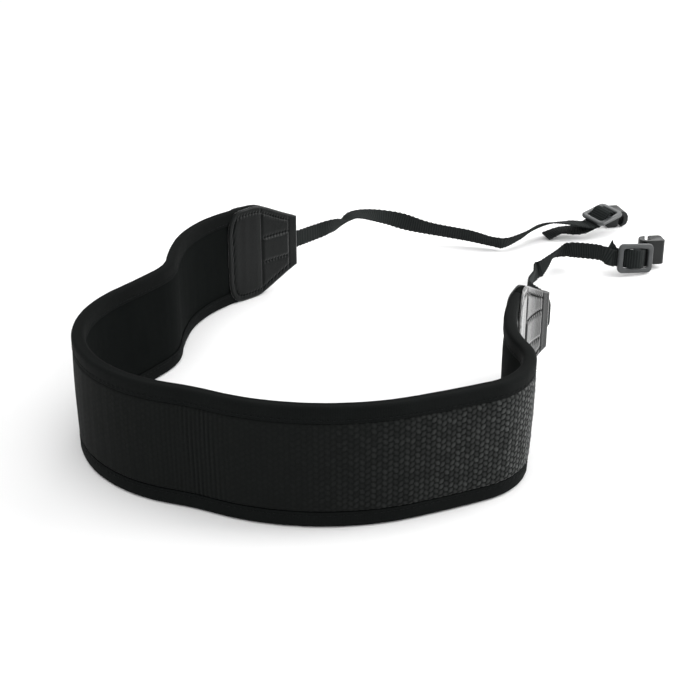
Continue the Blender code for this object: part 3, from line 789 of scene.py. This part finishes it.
def make_tape_stitches(band, look):
    spots = []
    first = COVER_START + 3 * MM
    count = int((PAD_LENGTH - 2 * first) / STITCH_PITCH)
    along = first + STITCH_PITCH * np.arange(count)
    for side in (1, -1):
        for face in (1, -1):
            out = face * (tape_out(along, STITCH_LINE, face) + 0.02 * MM)
            height = PAD_WIDTH / 2 + side * (half_height(along) - STITCH_LINE)
            here = band.place(along, out, height)
            ahead = band.place(along + 0.5 * MM, out, height) - here
            away = band.place(along, out + face * MM, height) - here
            spots += list(zip(here, ahead, away))
    return stitches("band_stitches", spots, look, 2.2 * MM, 0.27 * MM)


def patch_half_height(inwards):
    back = (PATCH_LENGTH - inwards) / PATCH_OVERLAP
    lost = through(END_TAPER, inwards / TAPER_LENGTH)
    tall = (PAD_WIDTH - (PAD_WIDTH - END_WIDTH) * lost) / 2
    return tall * through(PATCH_ROUND, back)


def patch_relief(inwards, up, edge):
    """Thickness of a patch by distance from the band's end, height and distance to its edge."""
    relief = PATCH_THICKNESS * (0.35 + 0.65 * smooth(edge / (1.1 * MM)))
    seam = bell(edge - PATCH_BORDER, 0.55 * MM) * smooth((inwards - 5 * MM) / (3 * MM))
    relief = relief - 0.42 * MM * seam
    inside = smooth((edge - PATCH_BORDER) / (3 * MM))
    tongue = smooth((inwards - PATCH_CROSS_LINE) / (2 * MM)) * smooth((PATCH_FOLD_LINE - inwards) / (2 * MM))
    middle = smooth((PATCH_ROW_UP - np.abs(up)) / (2.4 * MM))
    relief = relief + 0.75 * MM * middle * tongue
    sides = smooth((np.abs(up) - PATCH_ROW_UP) / (3 * MM))
    relief = relief + 0.35 * MM * sides * tongue * inside
    far = smooth((inwards - PATCH_FOLD_LINE) / (5 * MM))
    relief = relief + 0.30 * MM * far * inside
    relief = relief - 0.35 * MM * bell(np.abs(up) - PATCH_ROW_UP, 0.5 * MM) * tongue
    relief = relief - 0.50 * MM * bell(inwards - PATCH_FOLD_LINE, 0.6 * MM) * smooth(edge / (2 * MM))
    relief = relief - 0.35 * MM * bell(inwards - PATCH_CROSS_LINE, 0.5 * MM) * smooth(edge / (2 * MM))
    border = bell(edge - PATCH_BORDER, 1.2 * MM) * smooth((inwards - PATCH_CROSS_LINE) / (3 * MM))
    pucker = border + bell(np.abs(up) - PATCH_ROW_UP, 1.1 * MM) * tongue
    return relief + 0.32 * MM * pucker * np.cos(FULL_TURN * (inwards + 0.4 * up) / PATCH_STITCH_PITCH)


def patch_under(along, inwards, face):
    under = half_thickness(along) + CLEARANCE / 2
    lift = 0.5 * MM if face > 0 else 0.15 * MM
    return under + lift * smooth((inwards - COVER_START + 4 * MM) / (5 * MM))


def patch_edge_distance(inwards, up):
    """How far points of a patch lie from its outline."""
    run = np.linspace(0.0, PATCH_LENGTH, 240)
    tall = patch_half_height(run)
    steps = 40
    line = np.concatenate(
        [
            np.stack([np.zeros(steps), np.linspace(0.0, tall[0], steps)], axis=1),
            np.stack([run, tall], axis=1),
            np.stack([np.full(steps, PATCH_LENGTH), np.linspace(tall[-1], 0.0, steps)], axis=1),
        ]
    )
    spots = np.stack([inwards.reshape(-1), np.abs(up.reshape(-1))], axis=1)
    nearest = np.full(len(spots), 1.0)
    for near, far in zip(line, line[1:]):
        leg = far - near
        size = float(leg @ leg)
        if size < 1e-16:
            continue
        t = np.clip(((spots - near) @ leg) / size, 0.0, 1.0)
        gap = np.linalg.norm(spots - near - t[:, None] * leg, axis=1)
        nearest = np.minimum(nearest, gap)
    return nearest.reshape(inwards.shape)


def make_patch(band, left, face, name, node, look, spots):
    far = PATCH_LENGTH - PATCH_FINE_ZONE
    near_rows = np.linspace(0.0, PATCH_FINE_ZONE, 9)[:-1]
    middle_rows = np.linspace(PATCH_FINE_ZONE, far, 105)[:-1]
    inwards = np.concatenate([near_rows, middle_rows, np.linspace(far, PATCH_LENGTH, 13)])
    crowd = FULL_TURN / 4 * PATCH_CROWDING
    share = np.sin(np.linspace(-1.0, 1.0, PATCH_COLUMNS) * crowd) / math.sin(crowd)
    grid_in = inwards[:, None] + np.zeros((1, len(share)))
    grid_up = patch_half_height(inwards)[:, None] * share[None, :]
    edge = patch_edge_distance(grid_in, grid_up)
    along = grid_in if left else PAD_LENGTH - grid_in
    under = patch_under(along, grid_in, face)
    relief = patch_relief(grid_in, grid_up, edge)
    wave = 0.05 * MM * ripple(grid_in, grid_up, 1.0 + face)
    front = band.place(along, face * (under + relief + wave), PAD_WIDTH / 2 + grid_up)
    back_cols = np.linspace(len(share) - 1, 0, 7).astype(int)
    back_out = face * (under[:, back_cols] - 0.1 * MM)
    back = band.place(along[:, back_cols], back_out, PAD_WIDTH / 2 + grid_up[:, back_cols])
    points = np.concatenate([front, back], axis=1)
    uv = np.zeros((len(inwards), points.shape[1] + 1, 2))
    ups = np.concatenate([grid_up, grid_up[:, back_cols], grid_up[:, :1]], axis=1)
    uv[:, :, 0] = inwards[:, None] / MM
    uv[:, :, 1] = ups / MM
    mesh = sweep(name, points, uv)
    finish_mesh(name, mesh, look, [node])
    spots += patch_spots(band, left, face)


def patch_spots(band, left, face):
    """Where a patch's stitches lie: round its border, along the cross line and beside the strap."""
    run = np.linspace(0.0, PATCH_LENGTH, 400)
    tall = patch_half_height(run)
    end = np.stack([np.full(60, PATCH_LENGTH), np.linspace(tall[-1], 0, 60)], axis=1)
    outline = np.concatenate([np.stack([run, tall], axis=1), end])
    way = np.gradient(outline, axis=0)
    way /= np.maximum(np.linalg.norm(way, axis=1), 1e-12)[:, None]
    inset = outline + PATCH_BORDER * np.stack([way[:, 1], -way[:, 0]], axis=1)
    keep = patch_edge_distance(inset[:, 0], inset[:, 1]) > PATCH_BORDER * 0.97
    inset = inset[keep & (inset[:, 0] > PATCH_CROSS_LINE) & (inset[:, 1] >= 0)]
    steps = 200
    cross = np.stack([np.full(steps, PATCH_CROSS_LINE), np.linspace(-16 * MM, 16 * MM, steps)], axis=1)
    beside = np.linspace(PATCH_CROSS_LINE + MM, PATCH_FOLD_LINE - MM, steps)
    rows = [inset, inset * (1, -1), cross]
    for side in (1, -1):
        rows.append(np.stack([beside, np.full(steps, side * PATCH_ROW_UP)], axis=1))
    spots = []
    for row in rows:
        steps = np.linalg.norm(np.diff(row, axis=0), axis=1)
        length = running(steps)
        marks = np.arange(PATCH_STITCH_PITCH / 2, length[-1], PATCH_STITCH_PITCH)
        for shift in (0.0, 0.4 * MM):
            inward = np.interp(marks + shift, length, row[:, 0])
            up = np.interp(marks + shift, length, row[:, 1])
            along = inward if left else PAD_LENGTH - inward
            edge = patch_edge_distance(inward, up)
            out = patch_under(along, inward, face) + patch_relief(inward, up, edge)
            place = band.place(along, face * (out + 0.05 * MM), PAD_WIDTH / 2 + up)
            if shift == 0.0:
                here = place
                away = band.place(along, face * (out + MM), PAD_WIDTH / 2 + up) - here
        spots += list(zip(here, place - here, away))
    return spots


# Straps

def catmull(points, steps):
    line = []
    for i in range(len(points) - 1):
        before = points[max(i - 1, 0)]
        start, end = points[i], points[i + 1]
        after = points[min(i + 2, len(points) - 1)]
        for step in range(steps):
            t = step / steps
            bend = (2 * before - 5 * start + 4 * end - after) * t * t
            twist = (3 * start - before - 3 * end + after) * t * t * t
            line.append((2 * start + (end - before) * t + bend + twist) / 2)
    line.append(points[-1].copy())
    return line


def upright(direction):
    up = Vector((0, 0, 1))
    return (up - direction * up.dot(direction)).normalized()


def slide_frame(end, reach, place, height, turn):
    centre = Vector((end.x + reach * place[0], end.y + reach * place[1], height))
    heading, pitch, roll = (math.radians(angle) for angle in turn)
    spin = Matrix.Rotation(heading, 4, "Z") @ Matrix.Rotation(pitch, 4, "Y") @ Matrix.Rotation(roll, 4, "X")
    return Matrix.Translation(centre) @ spin


def laced_line(parting):
    slot = (SLIDE_MIDDLE_BAR + SLIDE_SLOT) / 2
    end = SLIDE_LENGTH / 2
    centre = (OVER_BAR + UNDER_BAR) / 2
    half = (
        (-end - SLIDE_BAR * 0.9, UNDER_BAR),
        (-end - SLIDE_BAR * 0.1, UNDER_BAR),
        (-end + SLIDE_BAR * 0.6, UNDER_BAR),
        (-end + SLIDE_BAR * 1.08, UNDER_BAR),
        (-slot, centre),
        (-SLIDE_MIDDLE_BAR / 2 - STRAP_THICKNESS * 0.2, OVER_BAR),
    )
    rows = half + tuple((-along, up) for along, up in reversed(half[2:]))
    inward = catmull([Vector(row) for row in rows], 8)
    outward = []
    for i, point in enumerate(inward):
        ahead = (inward[min(i + 1, len(inward) - 1)] - inward[max(i - 1, 0)]).normalized()
        outward.append(point + LAYER_STEP * Vector((ahead.y, -ahead.x)))
    outward = [p for p in outward if p.x > SLIDE_LENGTH * parting]
    turn = inward[-1] + Vector((SLIDE_BAR * 0.4, 0.0))
    middle = (inward[-1] + outward[-1]) / 2
    fold = []
    for i in range(15):
        angle = FULL_TURN / 4 - FULL_TURN / 2 * i / 14
        reach = LAYER_STEP / 2
        fold.append(Vector((turn.x + reach * math.cos(angle), middle.y + reach * math.sin(angle))))
    return inward + fold + outward[::-1]


def route_stations(start, route, reach):
    centres = [start]
    for across, back, above, _ in route:
        centres.append(Vector((start.x + reach * across, start.y + reach * back, PAD_WIDTH * above)))
    stations = []
    for i, centre in enumerate(centres):
        ahead = (centres[min(i + 1, len(centres) - 1)] - centres[max(i - 1, 0)]).normalized()
        roll = math.radians(route[i - 1][3]) if i else 0.0
        stations.append((centre, Matrix.Rotation(roll, 3, ahead) @ upright(ahead)))
    return stations


def above_floor(centre, across):
    lift = STRAP_WIDTH / 2 * abs(across.normalized().z) + STRAP_THICKNESS
    return Vector((centre.x, centre.y, max(centre.z, lift))), across


def strap_stations(point, ahead, run, frame, loose_end):
    """Centres and width directions of a strap from its seat to the end of its tail."""
    route, reach = run
    tail, tail_length, parting = loose_end
    free = [(point - ahead * STRAP_SEAT_DEPTH, Vector((0, 0, 1)))] + route_stations(point, route, reach)
    side = frame.to_3x3() @ Vector((0, 1, 0))
    if side.dot(free[-1][1]) < 0:
        side = -side
    line = laced_line(parting)
    free.append((frame @ Vector((line[0].x, 0, line[0].y)), side))
    stations = list(zip(catmull([c for c, _ in free], 12), catmull([a for _, a in free], 12)))
    stations = [above_floor(*station) for station in stations[:-1]]
    stations += [(frame @ Vector((p.x, 0, p.y)), side) for p in line]
    leaving = stations[-1][0]
    loose = [(leaving, side)]
    turn = frame.to_3x3()
    for along, aside, up, twist in tail:
        across = turn @ (Matrix.Rotation(math.radians(twist), 3, "X") @ Vector((0, 1, 0)))
        across = across if across.dot(side) > 0 else -across
        loose.append((leaving + turn @ (tail_length * Vector((along, aside, up))), across))
    ends = list(zip(catmull([c for c, _ in loose], 12), catmull([a for _, a in loose], 12)))
    return stations + [above_floor(*station) for station in ends[1:]]


def make_strap(name, node, stations, slide, cut, look):
    centres = np.array([station[0] for station in stations])
    acrosses = np.array([station[1].normalized() for station in stations])
    run = running(np.linalg.norm(np.diff(centres, axis=0), axis=1))
    fresh = np.concatenate([[True], np.diff(run) > 1e-7])
    run, centres, acrosses = run[fresh], centres[fresh], acrosses[fresh]
    along = np.arange(0.0, run[-1], RIB / 6)
    centre = np.stack([np.interp(along, run, centres[:, axis]) for axis in range(3)], axis=1)
    across = np.stack([np.interp(along, run, acrosses[:, axis]) for axis in range(3)], axis=1)
    for _ in range(3):
        centre[1:-1] = (centre[:-2] + 2 * centre[1:-1] + centre[2:]) / 4
    ahead = np.gradient(centre, axis=0)
    ahead /= np.linalg.norm(ahead, axis=1)[:, None]
    across -= ahead * np.sum(across * ahead, axis=1)[:, None]
    across /= np.linalg.norm(across, axis=1)[:, None]
    out = np.cross(ahead, across)
    rib = 0.5 + 0.5 * np.cos(FULL_TURN * along / RIB)
    loop = 0.5 + 0.5 * np.cos(FULL_TURN * along / LOOP)
    apart = np.linalg.norm(centre - np.array(slide.translation), axis=1)
    laced = smooth((SLIDE_LENGTH / 2 - apart) / (3 * MM))
    notch = 0.42 * MM * (1 - loop) * (1 - laced)
    half_wide = STRAP_WIDTH / 2 - notch + SLIDE_SIDE_PLAY * 0.8 * laced
    half_thick = STRAP_THICKNESS / 2 - 0.24 * MM * (1 - rib)
    tip = np.clip((along[-1] - along) / (1.2 * MM), 0.0, 1.0)
    half_thick = half_thick * (0.55 + 0.45 * tip)
    section = []
    for face in (1, -1):
        for share in (0.955, 0.86, 0.62, 0.31, 0.0, -0.31, -0.62, -0.86, -0.955):
            full = 1.0 if abs(share) < 0.9 else 0.8
            section.append((share * face, full * face))
        section.append((-face, 0.0))
    skew = np.zeros(len(along))
    if cut:
        skew = cut * smooth((along - along[-1] + abs(cut) * 3) / (abs(cut) * 3))
    points = []
    for wide, thick in section:
        point = centre + across * (half_wide * wide)[:, None] + out * (half_thick * thick)[:, None]
        points.append(point + ahead * (skew * wide)[:, None])
    points = np.stack(points, axis=1)
    # The rib value, from which the webbing look paints shade in the grooves and highlight on the crests.
    values = rib[:, None] + np.zeros((1, len(section)))
    mesh = sweep(name, points, round_uv(along, points), values)
    return finish_mesh(name, mesh, look, [node])


# Slides and clips

def rounded_box(length, width, radius, segments):
    points = []
    for turn, (x, y) in enumerate(((1, 1), (-1, 1), (-1, -1), (1, -1))):
        for i in range(segments + 1):
            angle = FULL_TURN / 4 * (turn + i / segments)
            centre = Vector((x * (length / 2 - radius), y * (width / 2 - radius)))
            points.append(centre + radius * Vector((math.cos(angle), math.sin(angle))))
    return points


def closed_prism(outline, low, high):
    body = bmesh.new()
    rings = [[body.verts.new((p.x, p.y, z)) for p in outline] for z in (low, high)]
    count = len(outline)
    for i in range(count):
        j = (i + 1) % count
        body.faces.new((rings[0][i], rings[0][j], rings[1][j], rings[1][i]))
    body.faces.new(rings[0][::-1])
    body.faces.new(rings[1])
    return body


def plain_object(name, body):
    mesh = bpy.data.meshes.new(name)
    bmesh.ops.recalc_face_normals(body, faces=body.faces)
    body.to_mesh(mesh)
    body.free()
    made = bpy.data.objects.new(name, mesh)
    bpy.context.scene.collection.objects.link(made)
    return made


def settled_mesh(made):
    """The object's mesh with its modifiers applied. The object itself is removed."""
    bpy.context.view_layer.update()
    graph = bpy.context.evaluated_depsgraph_get()
    mesh = bpy.data.meshes.new_from_object(made.evaluated_get(graph))
    mesh.transform(made.matrix_world)
    bpy.data.objects.remove(made)
    return mesh


def make_slide(name, node, frame, look):
    outline = rounded_box(SLIDE_LENGTH, SLIDE_WIDTH, SLIDE_ROUND, 10)
    slide = plain_object(name, closed_prism(outline, -SLIDE_THICKNESS / 2, SLIDE_THICKNESS / 2))
    cutters = []
    for side in (-1, 1):
        middle = side * (SLIDE_MIDDLE_BAR + SLIDE_SLOT) / 2
        hole = rounded_box(SLIDE_SLOT, SLIDE_WIDTH - 2 * SLIDE_RAIL, SLIDE_ROUND / 3, 6)
        hole = [Vector((p.x + middle, p.y)) for p in hole]
        cutter = plain_object(f"{name}_cutter", closed_prism(hole, -SLIDE_BAR, SLIDE_BAR))
        cut = slide.modifiers.new("slot", "BOOLEAN")
        cut.operation = "DIFFERENCE"
        cut.solver = "EXACT"
        cut.object = cutter
        cutters.append(cutter)
    soften = slide.modifiers.new("soft edges", "BEVEL")
    soften.width = SLIDE_THICKNESS * 0.42
    soften.segments = 5
    soften.angle_limit = math.radians(40)
    soften.use_clamp_overlap = False
    for piece in [slide] + cutters:
        piece.matrix_world = frame
    mesh = settled_mesh(slide)
    for cutter in cutters:
        bpy.data.objects.remove(cutter)
    return finish_mesh(name, mesh, look, [node])


def clip_outline():
    right = CLIP_LENGTH / 2
    top = CLIP_DEPTH / 2
    block_left = right - CLIP_BLOCK
    lip_out = -right
    lip_in = -right + CLIP_LIP
    soft = CLIP_LIP * 0.4
    return (
        (right - soft, top),
        (block_left, top),
        (lip_in, top),
        (lip_out + CLIP_DEPTH * 0.12, top - CLIP_DEPTH * 0.1),
        (lip_out, top - CLIP_DEPTH * 0.32),
        (lip_out, -top + CLIP_DEPTH * 0.4),
        (lip_out + CLIP_DEPTH * 0.1, -top + CLIP_DEPTH * 0.17),
        (lip_in + CLIP_DEPTH * 0.12, -top),
        (lip_in + CLIP_DEPTH * 0.2, -top + soft * 0.8),
        (lip_in + CLIP_DEPTH * 0.06, -top + CLIP_DEPTH * 0.25),
        (lip_in, -top + CLIP_DEPTH * 0.42),
        (lip_in, top - CLIP_SPINE - CLIP_DEPTH * 0.1),
        (lip_in + CLIP_DEPTH * 0.1, top - CLIP_SPINE),
        (block_left, top - CLIP_SPINE),
        (block_left, -top + soft),
        (block_left + soft, -top),
        (right - soft, -top),
        (right, -top + soft),
        (right, top - soft),
    )


def make_clip(name, node, frame, look):
    outline = [Vector(point) for point in clip_outline()]
    clip = plain_object(name, closed_prism(outline, -CLIP_WIDTH / 2, CLIP_WIDTH / 2))
    soften = clip.modifiers.new("soft edges", "BEVEL")
    soften.width = 0.55 * MM
    soften.segments = 4
    soften.angle_limit = math.radians(20)
    clip.matrix_world = frame
    return finish_mesh(name, settled_mesh(clip), look, [node])


def clip_frame(slide, place, height, spine):
    centre = slide.translation + SLIDE_LENGTH * Vector((place[0], place[1], 0.0))
    centre.z = height
    length = Vector((math.cos(math.radians(place[2])), math.sin(math.radians(place[2])), 0.0))
    axes = Matrix((length, spine, length.cross(spine))).transposed().to_4x4()
    return Matrix.Translation(centre) @ axes


def band_end(band, along, way):
    x, y, heading = (float(value) for value in band.at(np.array(along)))
    return Vector((x, y, PAD_WIDTH / 2)), Vector((math.cos(heading), math.sin(heading), 0.0)) * way


def main():
    make_camera()
    make_studio()
    band = Band()
    tape = tape_look()
    # Two copies of one leather with light painted in. The outer copy has a darker base colour, more specular
    # and full sheen, so the outer patches light up where light grazes them. The inner copy has a lighter base
    # colour and less sheen.
    low, high = (0.0022, 0.0029, 0.0028), (0.0062, 0.0073, 0.0071)
    inner_less_sheen_leather = leather_look("smooth leather", 0.10, 0.45, 0.30, low, high)
    low, high = (0.0010, 0.0015, 0.0014), (0.0036, 0.0044, 0.0042)
    outer_sheen_leather = leather_look("sheen_lit leather", 0.17, 1.0, 0.35, low, high)
    webbing = webbing_look()
    low, high = (0.022, 0.025, 0.026), (0.046, 0.049, 0.050)
    plastic = plastic_look("slide plastic", (0.034, 0.037, 0.038), 0.26, 0.5, 140.0, low, high)
    low, high = (0.005, 0.0062, 0.0062), (0.011, 0.0125, 0.0125)
    dark_plastic = plastic_look("clip plastic", (0.009, 0.0105, 0.0105), 0.24, 0.27, 160.0, low, high)
    thread = thread_look()
    make_padding(band, padding_look())
    make_grip(band, grip_look())
    make_tape(band, 1, "upper_tape", "upper_binding", tape)
    make_tape(band, -1, "lower_tape", "lower_binding", tape)
    make_tape_stitches(band, thread)
    spots = []
    for end, left in (("left", True), ("right", False)):
        # Outer patches get the leather copy with painted sheen, inner patches the copy with less sheen.
        for face, word, leather in ((1, "outer", outer_sheen_leather), (-1, "inner", inner_less_sheen_leather)):
            node = f"{end}_{word}_patch"
            make_patch(band, left, face, f"{end}_{word}_leather", node, leather, spots)
    stitches("patch_stitches", spots, thread, 1.9 * MM, 0.24 * MM)
    point, ahead = band_end(band, 0.0, -1)
    height = CLIP_DEPTH * LEFT_SLIDE_RISE
    slide = slide_frame(point, LEFT_REACH, LEFT_SLIDE_PLACE, height, LEFT_SLIDE_TURN)
    tail = (LEFT_TAIL, TAIL_LENGTH, TAIL_PARTING)
    way = strap_stations(point, ahead, (LEFT_ROUTE, LEFT_REACH), slide, tail)
    make_strap("left_webbing", "left_strap", way, slide, 0.0, webbing)
    make_slide("left_buckle", "left_slide", slide, plastic)
    place = clip_frame(slide, LEFT_CLIP_PLACE, CLIP_DEPTH / 2 + CLEARANCE, Vector((0, 0, 1)))
    make_clip("left_hook", "left_clip", place, dark_plastic)
    point, ahead = band_end(band, PAD_LENGTH, 1)
    height = SLIDE_WIDTH * RIGHT_SLIDE_RISE
    slide = slide_frame(point, RIGHT_REACH, RIGHT_SLIDE_PLACE, height, RIGHT_SLIDE_TURN)
    tail = (RIGHT_TAIL, SHORT_TAIL_LENGTH, SHORT_TAIL_PARTING)
    way = strap_stations(point, ahead, (RIGHT_ROUTE, RIGHT_REACH), slide, tail)
    make_strap("right_webbing", "right_strap", way, slide, 3.0 * MM, webbing)
    make_slide("right_buckle", "right_slide", slide, plastic)
    heading = math.radians(RIGHT_CLIP_PLACE[2]) - FULL_TURN / 4
    front = Vector((math.cos(heading), math.sin(heading), 0.0))
    place = clip_frame(slide, RIGHT_CLIP_PLACE, CLIP_WIDTH / 2 + RIGHT_CLIP_RISE, front)
    make_clip("right_hook", "right_clip", place, dark_plastic)


main()
